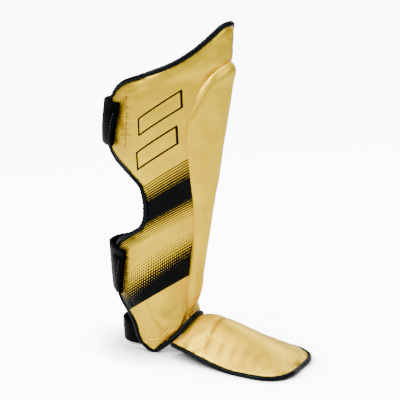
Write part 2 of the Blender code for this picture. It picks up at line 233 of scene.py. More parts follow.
def crease_sharp_edges(piece, amount):
    """Creases the edges that turn sharply, so that subdivision keeps them."""
    take(piece)
    bpy.ops.object.mode_set(mode="EDIT")
    bpy.ops.mesh.select_mode(type="EDGE")
    bpy.ops.mesh.select_all(action="DESELECT")
    bpy.ops.mesh.edges_select_sharp(sharpness=SHARP_EDGE)
    bpy.ops.transform.edge_crease(value=amount)
    bpy.ops.mesh.select_mode(type="VERT")
    bpy.ops.object.mode_set(mode="OBJECT")


def subdivide_smoothly(piece, levels):
    """Rounds a piece with a Subdivision Surface modifier and applies it."""
    smooth = piece.modifiers.new("smooth", "SUBSURF")
    smooth.levels = levels
    smooth.render_levels = levels
    take(piece)
    bpy.ops.object.modifier_apply(modifier=smooth.name)
    bpy.ops.object.shade_smooth()


print("edges sharper than", round(math.degrees(SHARP_EDGE)), "degrees are creased")

# %% [markdown]
# ## Points as rows of numbers
# Folds, bulges and ripples are waves that move many points at once. Numpy does that with a whole
# mesh in one line, so a piece's points and normals are read as rows, changed and written back. The
# leg's axis is the upright line that the shell wraps, and outwards means away from it.

# %% Read and move a piece's points
LEG_AXIS_X = -0.050


def points_of(piece):
    """The places of a piece's points, as rows of x, y and z."""
    places = np.empty(len(piece.data.vertices) * 3)
    piece.data.vertices.foreach_get("co", places)
    return places.reshape(-1, 3)


def normals_of(piece):
    """The normals at a piece's points."""
    normals = np.empty(len(piece.data.vertices) * 3)
    piece.data.vertices.foreach_get("normal", normals)
    return normals.reshape(-1, 3)


def move_points(piece, places):
    """Puts a piece's points at new places."""
    piece.data.vertices.foreach_set("co", places.reshape(-1))
    piece.data.update()


def towards_axis(places):
    """The level direction from each point to the leg's axis."""
    inward = np.column_stack([LEG_AXIS_X - places[:, 0], -places[:, 1], np.zeros(len(places))])
    return inward / np.linalg.norm(inward, axis=1)[:, None]


def outward_share(piece):
    """How far each point's normal turns away from the leg's axis: 1 outwards and -1 inwards."""
    places = points_of(piece)
    away = np.column_stack([places[:, 0] - LEG_AXIS_X, places[:, 1]])
    away /= np.linalg.norm(away, axis=1)[:, None]
    return (normals_of(piece)[:, :2] * away).sum(axis=1)


def smooth_step(values, low, high):
    """0 below low, 1 above high, and a smooth ramp between."""
    share = np.clip((values - low) / (high - low), 0, 1)
    return share * share * (3 - 2 * share)


def between(values, rise, fall):
    """1 in a stretch, with one smooth ramp up to it and one down from it."""
    return smooth_step(values, *rise) * (1 - smooth_step(values, *fall))


print("the leg's axis stands at x =", LEG_AXIS_X)

# %% [markdown]
# ## Rims that end inside the tape
# A folded tape swallows the edge that it binds. The covers' rims are therefore drawn into the tape,
# nearly to its middle, so that no light shows between cover and tape. A search tree of the tape's
# faces tells how near each point is: 1 on the tape and 0 at the end of the reach.

# %% Tuck a rim under its tape
TUCK_REACH = 6.0 * MM
TUCK_DEPTH = 2.4 * MM
# A point nearer than this is held still while a cover settles as cloth.
HELD_NEARNESS = 0.3
# Where a point starts to count as the rim, and where it does in full: by how far it faces the
# tape's middle, and by its nearness.
RIM_FACING = (0.25, 0.65)
RIM_NEARNESS = (0.1, 0.4)


def surface_tree(obj):
    """A search tree of an object's faces."""
    return BVHTree.FromPolygons(
        [vertex.co for vertex in obj.data.vertices],
        [tuple(face.vertices) for face in obj.data.polygons],
    )


def nearness_to(piece, node):
    """How near each point is to a frame piece: 1 where they touch and 0 beyond the reach."""
    tree = surface_tree(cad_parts[node])
    found = [tree.find_nearest(Vector(place), TUCK_REACH)[3] for place in points_of(piece)]
    return np.array([0.0 if distance is None else 1 - distance / TUCK_REACH for distance in found])


def tuck_under(piece, tape_node, tape_radius):
    """Pulls a cover's rim into the tape that wraps it. Returns each point's nearness to the tape."""
    tree = surface_tree(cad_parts[tape_node])
    nearness = nearness_to(piece, tape_node)
    places, normals = points_of(piece), normals_of(piece)
    for i in np.nonzero(nearness > 0)[0]:
        found, normal, _, distance = tree.find_nearest(Vector(places[i]))
        inwards = (found - normal * tape_radius - Vector(places[i])).normalized()
        beside = TUCK_DEPTH * max(0.0, 3 * nearness[i] - 2)
        on_rim = smooth_step(np.dot(normals[i], inwards), *RIM_FACING)
        on_rim *= smooth_step(nearness[i], *RIM_NEARNESS)
        places[i] += inwards * max(beside, (distance + TUCK_DEPTH) * on_rim)
    move_points(piece, places)
    return nearness


print("rims reach", round(TUCK_DEPTH / MM, 1), "mm into the tape")

# %% [markdown]
# ## Let the padding push
# Foam presses its cover outwards, and the cover has a little slack, so it bulges between its seams
# and buckles beside them. A short cloth simulation does this: the seams and the inside are pinned,
# and the rest is blown up a little and is up to two hundredths too large. How far a point may go is
# capped, so the piece keeps the form that the frame gives it.

# %% Simulate the padded covers
CLOTH_FRAMES = 16
CLOTH_QUALITY = 6
CLOTH_MASS = 0.3
STRETCH_STIFFNESS = 25
BEND_STIFFNESS = 0.4
SHORTEST_MOVE = 1e-9


def settle_as_cloth(piece, held, pressure, slack, cap):
    """Runs a cloth simulation on a piece, whose held points (0 to 1) stay, and caps each move.

    The cap is one length, or one for each point.
    """
    before = points_of(piece)
    group = piece.vertex_groups.new(name="held")
    for level in np.unique(np.round(held, 1)):
        if level > 0:
            group.add(np.nonzero(np.round(held, 1) == level)[0].tolist(), float(level), "REPLACE")
    cloth = piece.modifiers.new("cover", "CLOTH")
    cloth.settings.quality = CLOTH_QUALITY
    cloth.settings.mass = CLOTH_MASS
    cloth.settings.tension_stiffness = STRETCH_STIFFNESS
    cloth.settings.compression_stiffness = STRETCH_STIFFNESS
    cloth.settings.bending_stiffness = BEND_STIFFNESS
    cloth.settings.vertex_group_mass = group.name
    cloth.settings.shrink_min = -slack
    cloth.settings.use_pressure = True
    cloth.settings.uniform_pressure_force = pressure
    cloth.settings.effector_weights.gravity = 0
    cloth.point_cache.frame_start = 1
    cloth.point_cache.frame_end = CLOTH_FRAMES
    for number in range(1, CLOTH_FRAMES + 1):
        bpy.context.scene.frame_set(number)
    take(piece)
    bpy.ops.object.modifier_apply(modifier=cloth.name)
    bpy.context.scene.frame_set(1)
    piece.vertex_groups.clear()
    move = points_of(piece) - before
    length = np.linalg.norm(move, axis=1)
    keep = np.minimum(1, cap / np.maximum(length, SHORTEST_MOVE)) * (1 - held)
    move_points(piece, before + move * keep[:, None])
    furthest = float((length * keep).max()) / MM
    print(piece.name, "moved as cloth by up to", round(furthest, 2), "mm")


print("each cover settles in", CLOTH_FRAMES, "frames")

# %% [markdown]
# ## Coordinates that follow the leg
# A print or a weave has to follow the surface, so each piece gets a UV map in metres: how far round
# the leg a point is, and how high. Round the leg, the distance is the angle from the shin times the
# leg's mean radius at that height. The straps cross the back of the leg, so theirs is counted from
# the back, where the shell's has its ends.

# %% Unroll the leg
LEG_HEIGHTS = (0.0, 0.060, 0.120, 0.200, 0.280, 0.381)
LEG_RADII = (0.044, 0.047, 0.050, 0.058, 0.066, 0.068)


def unrolled(places, from_back=False):
    """Distance round the leg and height of each point, in metres."""
    x = places[:, 0] - LEG_AXIS_X
    turn = np.arctan2(places[:, 1], -x if from_back else x)
    radius = np.interp(places[:, 2], LEG_HEIGHTS, LEG_RADII)
    return turn * radius, places[:, 2]


def lay_uv(piece, along, up):
    """Writes a UV map, in metres, from two values for each point."""
    layer = piece.data.uv_layers.get("UVMap") or piece.data.uv_layers.new(name="UVMap")
    corners = np.empty(len(piece.data.loops), int)
    piece.data.loops.foreach_get("vertex_index", corners)
    layer.data.foreach_set("uv", np.column_stack([along, up])[corners].reshape(-1))


def paint(piece, name, values):
    """Keeps one value for each point as an attribute that a material can read."""
    layer = piece.data.attributes.get(name) or piece.data.attributes.new(name, "FLOAT", "POINT")
    layer.data.foreach_set("value", np.clip(values, 0, 1))


print("the leg's radius is", min(LEG_RADII), "to", max(LEG_RADII), "metres")

# %% [markdown]
# ## Effects that several finishes share
# Leatherette has a fine pebbled grain pressed into it, and woven tape has crossing threads. Both
# are built once as shader node groups that give a height for a Bump node and a shade that lightens
# or darkens the colour a little. Each material places the group with its own scale.

# %% Build the shared node groups
def new_group(name, inputs, outputs):
    """An empty shader node group with the named sockets, and its two end nodes."""
    group = bpy.data.node_groups.new(name, "ShaderNodeTree")
    for socket_name, kind, value in inputs:
        socket = group.interface.new_socket(name=socket_name, in_out="INPUT", socket_type=kind)
        if value is not None:
            socket.default_value = value
    for socket_name in outputs:
        group.interface.new_socket(name=socket_name, in_out="OUTPUT", socket_type="NodeSocketFloat")
    return group, group.nodes.new("NodeGroupInput"), group.nodes.new("NodeGroupOutput")


def feed(tree, socket, value):
    """Gives a socket another node's output or a plain number."""
    if isinstance(value, bpy.types.NodeSocket):
        tree.links.new(value, socket)
    else:
        socket.default_value = value


def calc(tree, operation, *values, clamp=False):
    """A Math node on the values, and its result."""
    node = tree.nodes.new("ShaderNodeMath")
    node.operation = operation
    node.use_clamp = clamp
    for socket, value in zip(node.inputs, values):
        feed(tree, socket, value)
    return node.outputs[0]


def ramp(tree, value, low, high, low_result=0.0, high_result=1.0):
    """A smooth ramp from one result to another as a value goes from low to high."""
    node = tree.nodes.new("ShaderNodeMapRange")
    node.interpolation_type = "SMOOTHSTEP"
    for name, given in (
        ("Value", value),
        ("From Min", low),
        ("From Max", high),
        ("To Min", low_result),
        ("To Max", high_result),
    ):
        feed(tree, node.inputs[name], given)
    return node.outputs["Result"]


def noise(tree, vector, scale, detail=3.0, roughness=0.5):
    """Noise between 0 and 1 with that many lumps a metre."""
    node = tree.nodes.new("ShaderNodeTexNoise")
    tree.links.new(vector, node.inputs["Vector"])
    feed(tree, node.inputs["Scale"], scale)
    node.inputs["Detail"].default_value = detail
    node.inputs["Roughness"].default_value = roughness
    return node.outputs["Fac"]


VECTOR = "NodeSocketVector"
NUMBER = "NodeSocketFloat"
PEBBLE_PART, FINE_PART = 0.7, 0.3
FINE_PER_PEBBLE = 2.6

grain_group, given, result = new_group(
    "leather_grain",
    (("Place", VECTOR, None), ("Pebbles per metre", NUMBER, 900.0)),
    ("Height", "Shade"),
)
pebbles = grain_group.nodes.new("ShaderNodeTexVoronoi")
pebbles.feature = "F1"
grain_group.links.new(given.outputs["Place"], pebbles.inputs["Vector"])
grain_group.links.new(given.outputs["Pebbles per metre"], pebbles.inputs["Scale"])
pebble_height = ramp(grain_group, pebbles.outputs["Distance"], 0.15, 0.75, 1.0, 0.0)
fine_scale = calc(grain_group, "MULTIPLY", given.outputs["Pebbles per metre"], FINE_PER_PEBBLE)
fine = noise(grain_group, given.outputs["Place"], fine_scale)
pebble_part = calc(grain_group, "MULTIPLY", pebble_height, PEBBLE_PART)
fine_part = calc(grain_group, "MULTIPLY", fine, FINE_PART)
height = calc(grain_group, "ADD", pebble_part, fine_part)
grain_group.links.new(height, result.inputs["Height"])
grain_group.links.new(ramp(grain_group, height, 0.1, 0.8), result.inputs["Shade"])

weave_group, given, result = new_group(
    "woven_threads",
    (("Place", VECTOR, None), ("Warp per metre", NUMBER, 1200.0), ("Weft per metre", NUMBER, 900.0)),
    ("Height", "Shade"),
)
split = weave_group.nodes.new("ShaderNodeSeparateXYZ")
weave_group.links.new(given.outputs["Place"], split.inputs[0])
waves = []
for axis, count in (("X", "Warp per metre"), ("Y", "Weft per metre")):
    turns_per_metre = calc(weave_group, "MULTIPLY", given.outputs[count], math.pi)
    turned = calc(weave_group, "MULTIPLY", split.outputs[axis], turns_per_metre)
    waves.append(calc(weave_group, "SINE", turned))
threads = calc(weave_group, "ABSOLUTE", calc(weave_group, "MULTIPLY", *waves))
weave_group.links.new(threads, result.inputs["Height"])
weave_group.links.new(ramp(weave_group, threads, 0.0, 0.7), result.inputs["Shade"])
print("shared effects:", [g.name for g in bpy.data.node_groups])

# %% [markdown]
# ## The finishes
# Gold leatherette is a satin coat on cloth. It isn't metal, but the fine flakes in its coat make its
# highlights warm, so it is mostly metallic to the shader. Shade in its creases and in the hollows of
# its folds is painted: a per-point attribute turns the gold a dark orange-brown there. The black tape
# is a smoother leatherette, the straps are ribbed elastic, and the lining is a dull woven cloth.
# Thread is spun, so its colour wanders a little along its length.

# %% Make the plain finishes
METALLIC_SHARE = 0.8
GOLD = (0.97, 0.66, 0.004, 1)
GOLD_DEEP = (0.88, 0.55, 0.002, 1)
GOLD_FOLD_SHADE = (0.36, 0.12, 0.002, 1)
GOLD_LIT = (1.0, 0.76, 0.05, 1)
INK = (0.0020, 0.0024, 0.0030, 1)
TAPE_BLACK = (0.0008, 0.0012, 0.0018, 1)
TAPE_WORN = (0.003, 0.005, 0.007, 1)
COOL_SHEEN = (0.70, 0.88, 1.0, 1)
WEB_BLACK = (0.0003, 0.0004, 0.0006, 1)
WEB_RAISED = (0.0008, 0.0011, 0.0016, 1)
LINING_BLACK = (0.0030, 0.0034, 0.0040, 1)
LINING_RAISED = (0.0120, 0.0130, 0.0150, 1)
THREAD_DARK, THREAD_LIT = (0.010, 0.012, 0.016, 1), (0.035, 0.038, 0.045, 1)
BRONZE_DARK, BRONZE_LIT = (0.045, 0.022, 0.006, 1), (0.130, 0.070, 0.020, 1)
# Lumps a metre in the gold's soft clouds, its duller patches and its creep, and its pebbles.
CLOUDS, PATCHES, CREEP, PEBBLES = 22.0, 60.0, 75.0, 1100.0
CREEP_HEIGHT, PEBBLE_HEIGHT = 0.5 * MM, 0.06 * MM
GRAIN_TINT = 0.10
GOLD_ROUGHNESS = (0.33, 0.45)
INK_DULLS = 0.16
INK_METALLIC = 0.90
TAPE_SPECULAR, WEB_SPECULAR, LINING_SPECULAR = 0.10, 0.02, 0.08
THREAD_MOTTLE = 900.0


def new_material(name, roughness):
    """A material with its node tree and its Principled shader."""
    material = bpy.data.materials.new(name)
    material.use_nodes = True
    shader = material.node_tree.nodes["Principled BSDF"]
    shader.inputs["Roughness"].default_value = roughness
    return material, material.node_tree, shader


def place_group(tree, group, vector, **settings):
    """A node group placed in a material, reading that vector."""
    node = tree.nodes.new("ShaderNodeGroup")
    node.node_tree = group
    tree.links.new(vector, node.inputs["Place"])
    for name, value in settings.items():
        node.inputs[name.replace("_", " ")].default_value = value
    return node


def blend_colours(tree, share, first, second):
    """A mix of two colours, each a socket or four numbers."""
    node = tree.nodes.new("ShaderNodeMix")
    node.data_type = "RGBA"
    feed(tree, node.inputs[0], share)
    feed(tree, node.inputs[6], first)
    feed(tree, node.inputs[7], second)
    return node.outputs[2]


def bump(tree, shader, *layers):
    """Feeds the shader's normal from heights, each with its depth in metres."""
    normal = None
    for height, depth in layers:
        node = tree.nodes.new("ShaderNodeBump")
        node.inputs["Distance"].default_value = depth
        tree.links.new(height, node.inputs["Height"])
        if normal is not None:
            tree.links.new(normal, node.inputs["Normal"])
        normal = node.outputs["Normal"]
    tree.links.new(normal, shader.inputs["Normal"])


def object_place(tree):
    """Where a point is on the piece, in metres."""
    return tree.nodes.new("ShaderNodeTexCoord").outputs["Object"]


def surface_place(tree):
    """Where a point is on the piece's own UV map, in metres."""
    return tree.nodes.new("ShaderNodeTexCoord").outputs["UV"]


def gold_colour(tree, place):
    """The leatherette's colour: gold with soft clouds, and painted shade that darkens it to orange-brown in
    the creases and folds.
    """
    clouds = ramp(tree, noise(tree, place, CLOUDS, 4.0), 0.35, 0.68)
    base = blend_colours(tree, clouds, GOLD, GOLD_DEEP)
    # Painted shade: a per-point attribute blends the gold towards dark orange-brown in creases and the
    # hollows of folds.
    fold_shade = tree.nodes.new("ShaderNodeAttribute")
    fold_shade.attribute_name = "fold_shade"
    return blend_colours(tree, fold_shade.outputs["Fac"], base, GOLD_FOLD_SHADE)


def finish_leatherette(tree, shader, place, ink=None):
    """Colour, grain and a satin coat for a gold leatherette, with dull dark ink where it is printed."""
    grain = place_group(tree, grain_group, place, Pebbles_per_metre=PEBBLES)
    tint = calc(tree, "MULTIPLY", grain.outputs["Shade"], GRAIN_TINT)
    colour = blend_colours(tree, tint, gold_colour(tree, place), GOLD_LIT)
    patches = noise(tree, place, PATCHES, 3.0)
    roughness = ramp(tree, patches, 0.3, 0.7, *GOLD_ROUGHNESS)
    shader.inputs["Metallic"].default_value = METALLIC_SHARE
    if ink is not None:
        colour = blend_colours(tree, ink, colour, INK)
        roughness = calc(tree, "MULTIPLY_ADD", ink, INK_DULLS, roughness)
        metallic = ramp(tree, ink, 0.0, 1.0, METALLIC_SHARE, INK_METALLIC)
        tree.links.new(metallic, shader.inputs["Metallic"])
    tree.links.new(colour, shader.inputs["Base Color"])
    tree.links.new(roughness, shader.inputs["Roughness"])
    creep = noise(tree, place, CREEP, 3.0)
    bump(tree, shader, (creep, CREEP_HEIGHT), (grain.outputs["Height"], PEBBLE_HEIGHT))


plain_gold, tree, shader = new_material("gold_leatherette", 0.45)
place = object_place(tree)
finish_leatherette(tree, shader, place)

tape, tree, shader = new_material("black_binding_tape", 0.4)
place = object_place(tree)
grain = place_group(tree, grain_group, place, Pebbles_per_metre=1400.0)
wear = ramp(tree, noise(tree, place, 130.0, 4.0), 0.42, 0.75)
tree.links.new(blend_colours(tree, wear, TAPE_BLACK, TAPE_WORN), shader.inputs["Base Color"])
tree.links.new(ramp(tree, wear, 0.0, 1.0, 0.30, 0.42), shader.inputs["Roughness"])
shader.inputs["Specular IOR Level"].default_value = TAPE_SPECULAR
shader.inputs["Specular Tint"].default_value = COOL_SHEEN
bump(tree, shader, (noise(tree, place, 160.0, 2.0), 0.25 * MM), (grain.outputs["Height"], 0.02 * MM))

webbing, tree, shader = new_material("black_elastic_webbing", 0.7)
place = surface_place(tree)
threads = place_group(tree, weave_group, place, Warp_per_metre=1100.0, Weft_per_metre=620.0)
fuzz = noise(tree, place, 700.0, 3.0)
tree.links.new(
    blend_colours(tree, threads.outputs["Shade"], WEB_BLACK, WEB_RAISED),
    shader.inputs["Base Color"],
)
tree.links.new(ramp(tree, fuzz, 0.2, 0.8, 0.28, 0.40), shader.inputs["Roughness"])
shader.inputs["Specular IOR Level"].default_value = WEB_SPECULAR
shader.inputs["Specular Tint"].default_value = COOL_SHEEN
bump(tree, shader, (threads.outputs["Height"], 0.08 * MM))

lining, tree, shader = new_material("black_lining_cloth", 0.85)
place = object_place(tree)
cloth = place_group(tree, weave_group, surface_place(tree), Warp_per_metre=700.0, Weft_per_metre=700.0)
tree.links.new(
    blend_colours(tree, cloth.outputs["Shade"], LINING_BLACK, LINING_RAISED),
    shader.inputs["Base Color"],
)
bump(tree, shader, (noise(tree, place, 90.0), 0.6 * MM), (cloth.outputs["Height"], 0.2 * MM))
shader.inputs["Specular IOR Level"].default_value = LINING_SPECULAR


def spun_thread(name, roughness, dark, lit):
    """A thread whose colour wanders between two."""
    material, tree, shader = new_material(name, roughness)
    mottle = noise(tree, object_place(tree), THREAD_MOTTLE)
    tree.links.new(blend_colours(tree, mottle, dark, lit), shader.inputs["Base Color"])
    return material


thread = spun_thread("sewing_thread", 0.55, THREAD_DARK, THREAD_LIT)
bronze_thread = spun_thread("bronze_sewing_thread", 0.5, BRONZE_DARK, BRONZE_LIT)
print("finishes:", [m.name for m in bpy.data.materials])

# %% [markdown]
# ## The printed bands
# Two slanted bands run down each side. The upper one starts and ends in thin lines, and the lower one
# fades upwards in rows of dots. Seen from the side their edges are straight, so a band is the space
# between two straight lines in x and z. How far up a point is in that space, from 0 to 1, sets how
# much ink it gets. A print like this is a formula, so it stays sharp at any distance.

# %% Print the bands in a second gold finish
# A band's edge: its height at x = 0 in metres, and how much it rises along x.
UPPER_BAND_TOP = (0.2394, 0.709)
UPPER_BAND_BOTTOM = (0.1700, 0.601)
LOWER_BAND_TOP = (0.1541, 0.729)
LOWER_BAND_BOTTOM = (0.1020, 0.675)
UPPER_LINES = 25
TOP_LINES = 22
TOP_LINES_START = 0.64
# How thick a line is, as a share of the pitch: two places in the band, and the share at each. The
# lines thicken up from the band's bottom and thin towards its top.
LINES_THICKEN = (0.0, 0.36, 0.26, 1.02)
LINES_THIN = (0.60, 0.98, 1.02, 0.50)
DOT_ROWS = 15
DOT_PITCH = 2.9 * MM
# The radius of a dot, as a share of the pitch, at the band's top and how much it grows downwards.
SMALLEST_DOT = 0.21
DOT_GROWTH = 0.80
# Towards the back the dots grow less: from and to how far round the leg, and the share left there.
DOTS_SHRINK = (0.020, 0.115)
DOTS_SHRUNK = 0.72
# Two outlined bars above the bands: how far back and forward each reaches, then its bottom and top
# edges where they meet x = 0, in metres.
OUTLINED_BARS = (
    (-0.058, -0.012, 0.2610, 0.2830),
    (-0.054, -0.006, 0.2980, 0.3190),
)
OUTLINE_WIDTH = 2.4 * MM


def place_in_band(tree, x, z, bottom, top):
    """0 on a band's bottom edge and 1 on its top edge."""
    low = calc(tree, "MULTIPLY_ADD", x, bottom[1], bottom[0])
    high = calc(tree, "MULTIPLY_ADD", x, top[1], top[0])
    return calc(tree, "DIVIDE", calc(tree, "SUBTRACT", z, low), calc(tree, "SUBTRACT", high, low))


def within(tree, value, low, high):
    """1 between low and high and 0 outside."""
    above = calc(tree, "GREATER_THAN", value, low)
    below = calc(tree, "LESS_THAN", value, high)
    return calc(tree, "MULTIPLY", above, below)


def outlined_bar(tree, x, slanted, reach, span):
    """The outline of a slanted bar: the bar less a smaller one inside it."""
    whole = calc(tree, "MULTIPLY", within(tree, x, *reach), within(tree, slanted, *span))
    inner_reach = (reach[0] + OUTLINE_WIDTH, reach[1] - OUTLINE_WIDTH)
    inner_span = (span[0] + OUTLINE_WIDTH, span[1] - OUTLINE_WIDTH)
    hollow = calc(tree, "MULTIPLY", within(tree, x, *inner_reach), within(tree, slanted, *inner_span))
    return calc(tree, "SUBTRACT", whole, hollow)


printed_gold, tree, shader = new_material("gold_leatherette_printed", 0.45)
place = object_place(tree)
split = tree.nodes.new("ShaderNodeSeparateXYZ")
tree.links.new(place, split.inputs[0])
flat = tree.nodes.new("ShaderNodeSeparateXYZ")
tree.links.new(surface_place(tree), flat.inputs[0])
x, z = split.outputs["X"], split.outputs["Z"]
round_leg = calc(tree, "ABSOLUTE", flat.outputs["X"])

upper = place_in_band(tree, x, z, UPPER_BAND_BOTTOM, UPPER_BAND_TOP)
in_top_lines = calc(tree, "GREATER_THAN", upper, TOP_LINES_START)
lines_each = calc(tree, "MULTIPLY_ADD", in_top_lines, TOP_LINES - UPPER_LINES, UPPER_LINES)
line_place = calc(tree, "FRACT", calc(tree, "MULTIPLY", upper, lines_each))
from_line = calc(tree, "MULTIPLY", calc(tree, "ABSOLUTE", calc(tree, "SUBTRACT", line_place, 0.5)), 2.0)
line_cover = calc(
    tree,
    "MINIMUM",
    ramp(tree, upper, *LINES_THICKEN),
    ramp(tree, upper, *LINES_THIN),
)
lines = calc(tree, "MULTIPLY", calc(tree, "LESS_THAN", from_line, line_cover), within(tree, upper, 0.0, 1.0))

lower = place_in_band(tree, x, z, LOWER_BAND_BOTTOM, LOWER_BAND_TOP)
row_place = calc(tree, "SUBTRACT", calc(tree, "FRACT", calc(tree, "MULTIPLY", lower, DOT_ROWS)), 0.5)
dot_place = calc(tree, "SUBTRACT", calc(tree, "FRACT", calc(tree, "DIVIDE", round_leg, DOT_PITCH)), 0.5)
from_dot = calc(
    tree,
    "SQRT",
    calc(tree, "ADD", calc(tree, "POWER", row_place, 2.0), calc(tree, "POWER", dot_place, 2.0)),
)
fade_back = ramp(tree, round_leg, *DOTS_SHRINK, DOT_GROWTH, DOTS_SHRUNK * DOT_GROWTH)
dot_radius = calc(tree, "MULTIPLY_ADD", calc(tree, "SUBTRACT", 1.0, lower), fade_back, SMALLEST_DOT)
dots = calc(tree, "MULTIPLY", calc(tree, "LESS_THAN", from_dot, dot_radius), within(tree, lower, 0.0, 1.0))

bars = 0.0
for reach_back, reach_front, bar_bottom, bar_top in OUTLINED_BARS:
    slanted = calc(tree, "MULTIPLY_ADD", x, -UPPER_BAND_TOP[1], z)
    frame_of_bar = outlined_bar(tree, x, slanted, (reach_back, reach_front), (bar_bottom, bar_top))
    bars = calc(tree, "MAXIMUM", bars, frame_of_bar)

ink = calc(tree, "MAXIMUM", calc(tree, "MAXIMUM", lines, dots), bars)
finish_leatherette(tree, shader, place, ink)
print("printed finish uses", len(tree.nodes), "nodes")

# %% [markdown]
# ## The shell
# The real shell is two layers of leatherette and cloth over thin foam. It is made from the CAD
# shell: its rim is creased so that it reaches into the binding, its ankle gets more faces because
# the folds there are only a few millimetres wide, and two rounds of subdivision make it smooth.
# Between the two rounds the cover settles as cloth, held by the lining and by the binding.

# %% Cut the shell's cover
ANKLE_TOP = 0.085
OUTER_FACING = (0.1, 0.5)
SHELL_PRESSURE = 0.3
SHELL_SLACK = 0.02
SHELL_CAP = 1.0 * MM


def select_points(piece, chosen):
    """Selects the chosen points of a piece, with nothing else selected."""
    take(piece)
    bpy.ops.object.mode_set(mode="EDIT")
    bpy.ops.mesh.select_mode(type="VERT")
    bpy.ops.mesh.select_all(action="DESELECT")
    bpy.ops.object.mode_set(mode="OBJECT")
    piece.data.vertices.foreach_set("select", np.asarray(chosen, bool))


def assign_finishes(piece, outer, inner, inner_faces):
    """Two material slots, the second one for the inner faces."""
    piece.data.materials.append(outer)
    piece.data.materials.append(inner)
    piece.data.polygons.foreach_set("material_index", np.asarray(inner_faces, int))
    piece.data.update()


def face_values(piece, name):
    """A vector of every face, such as its normal or its centre."""
    values = np.empty(len(piece.data.polygons) * 3)
    piece.data.polygons.foreach_get(name, values)
    return values.reshape(-1, 3)


shell = working_copy("shin_shell", "shell_cover")
crease_sharp_edges(shell, COVER_CREASE)
select_points(shell, points_of(shell)[:, 2] < ANKLE_TOP)
bpy.ops.object.mode_set(mode="EDIT")
bpy.ops.mesh.subdivide(number_cuts=1)
bpy.ops.object.mode_set(mode="OBJECT")
subdivide_smoothly(shell, 1)
inside = 1 - smooth_step(outward_share(shell), *OUTER_FACING)
held = np.maximum(inside, nearness_to(shell, "shell_binding") > HELD_NEARNESS)
settle_as_cloth(shell, held, SHELL_PRESSURE, SHELL_SLACK, SHELL_CAP)
subdivide_smoothly(shell, 1)
print("shell cover:", len(shell.data.polygons), "faces")

# %% [markdown]
# ## Folds that use leaves in the shell
# Where the padded part stops above the hem, the cover is pressed into a crease. Above it the
# leatherette bunches into a few shallow folds that follow the crease. At the wings, the straps pull
# short puckers out of the row of stitches. Each is a wave along the surface, moved out or in by a
# millimetre or two. Painted shade, kept in a per-point attribute that turns the gold orange-brown,
# darkens the crease, a soft band above it, the hollows of the waves and stripes beside the tape.

# %% Press folds into the shell
# How far above the rim the crease runs, at distances round from the shin, and where it fades out.
HEM_PLACES = (0.0, 0.030, 0.060)
HEM_HEIGHTS = (3.8 * MM, 6.0 * MM, 4.0 * MM)
HEM_END = (0.050, 0.066)
RIM_REACH = 0.090
RIM_STEPS = 46
RIM_SLICE = 2.0 * MM
CREASE_DEPTH = 2.2 * MM
CREASE_WIDTH = 2.0 * MM
CREASE_SHADE = 7.0 * MM
SHADE_BELOW = 0.6 * CREASE_WIDTH
SHADE_START = (0.0, 0.020)
# At the very front the shell is drawn in, under the ridge pad's low end.
FRONT_PINCH = 3.6 * MM
PINCH_HEIGHT = 4.0 * MM
PINCH_ABOVE = 4.0 * MM
PINCH_END = (0.016, 0.036)
# The folds start and end at counts of their pitch above the crease, and at distances round from
# the shin. They wander by sines: how far, how many radians a metre, and the first one's start.
FOLD_DEPTH = 0.80 * MM
FOLD_PITCH = 4.6 * MM
FOLD_RISE, FOLD_FALL = (0.3, 1.2), (2.5, 5.0)
FOLD_ROUND = ((0.030, 0.050), (0.075, 0.095))
FOLD_WANDER = ((0.8, 95, 0.0), (0.5, 213, 1.3))
# The heights beside the two wide straps, where each starts and ends.
BESIDE_UPPER = ((0.243, 0.255), (0.300, 0.315))
BESIDE_LOWER = ((0.058, 0.070), (0.122, 0.135))
# How far round from the shin the stitches of the wings run, at four heights.
STITCH_HEIGHTS = (0.060, 0.131, 0.240, 0.310)
STITCH_ROUND = (0.108, 0.108, 0.123, 0.127)
PUCKER_PITCH = 6.0 * MM
PUCKER_DEPTH = 0.5 * MM
PUCKER_REACH = 9.0 * MM
PUCKER_SWAY = (1.1, 420)
MARGIN_PITCH = 5.5 * MM
MARGIN_DEPTH = 0.5 * MM
MARGIN_START = 3.0 * MM
MARGIN_SWAY = (0.7, 90)
SHELL_TAPE_RADIUS = 3.2 * MM
# How dark the painted shade is in each kind of crease and wave.
SHADE_OF_CREASE, SHADE_ABOVE_CREASE = 0.95, 0.90
SHADE_OF_FOLDS, SHADE_OF_PUCKERS, SHADE_OF_MARGIN, SHADE_OF_PLEATS = 0.34, 0.30, 0.62, 0.40
# Stripes of painted shade beside the tape: their rates in radians a metre, their sway, and the nearness over
# which they fade in.
PLEAT_RATES = (900, 260)
PLEAT_SWAY = 1.7
PLEAT_NEARNESS = (0.3, 1.0)


def valleys(wave):
    """The hollows of a wave, from 0 to 1."""
    return np.clip(-wave, 0, 1)


beside_tape = tuck_under(shell, "shell_binding", SHELL_TAPE_RADIUS)
places = points_of(shell)
normals = normals_of(shell)
outside = smooth_step(outward_share(shell), *OUTER_FACING)
around, up = unrolled(places)
distance = np.abs(around)

rim_steps = np.linspace(0.0, RIM_REACH, RIM_STEPS)
rim_heights = [up[np.abs(distance - step) < RIM_SLICE].min() for step in rim_steps]
rim_line = np.interp(distance, rim_steps, rim_heights)
over_crease = up - (rim_line + np.interp(distance, HEM_PLACES, HEM_HEIGHTS))
crease_fades = 1 - smooth_step(distance, *HEM_END)
crease = np.exp(-((over_crease / CREASE_WIDTH) ** 2)) * crease_fades
pinch = FRONT_PINCH * np.exp(-(((over_crease - PINCH_ABOVE) / PINCH_HEIGHT) ** 2))
pinch *= 1 - smooth_step(distance, *PINCH_END)

pitches_up = over_crease / FOLD_PITCH
wander = sum(size * np.sin(distance * rate + start) for size, rate, start in FOLD_WANDER)
folds = np.sin(2 * math.pi * pitches_up + wander)
folds = folds * between(pitches_up, FOLD_RISE, FOLD_FALL) * between(distance, *FOLD_ROUND)

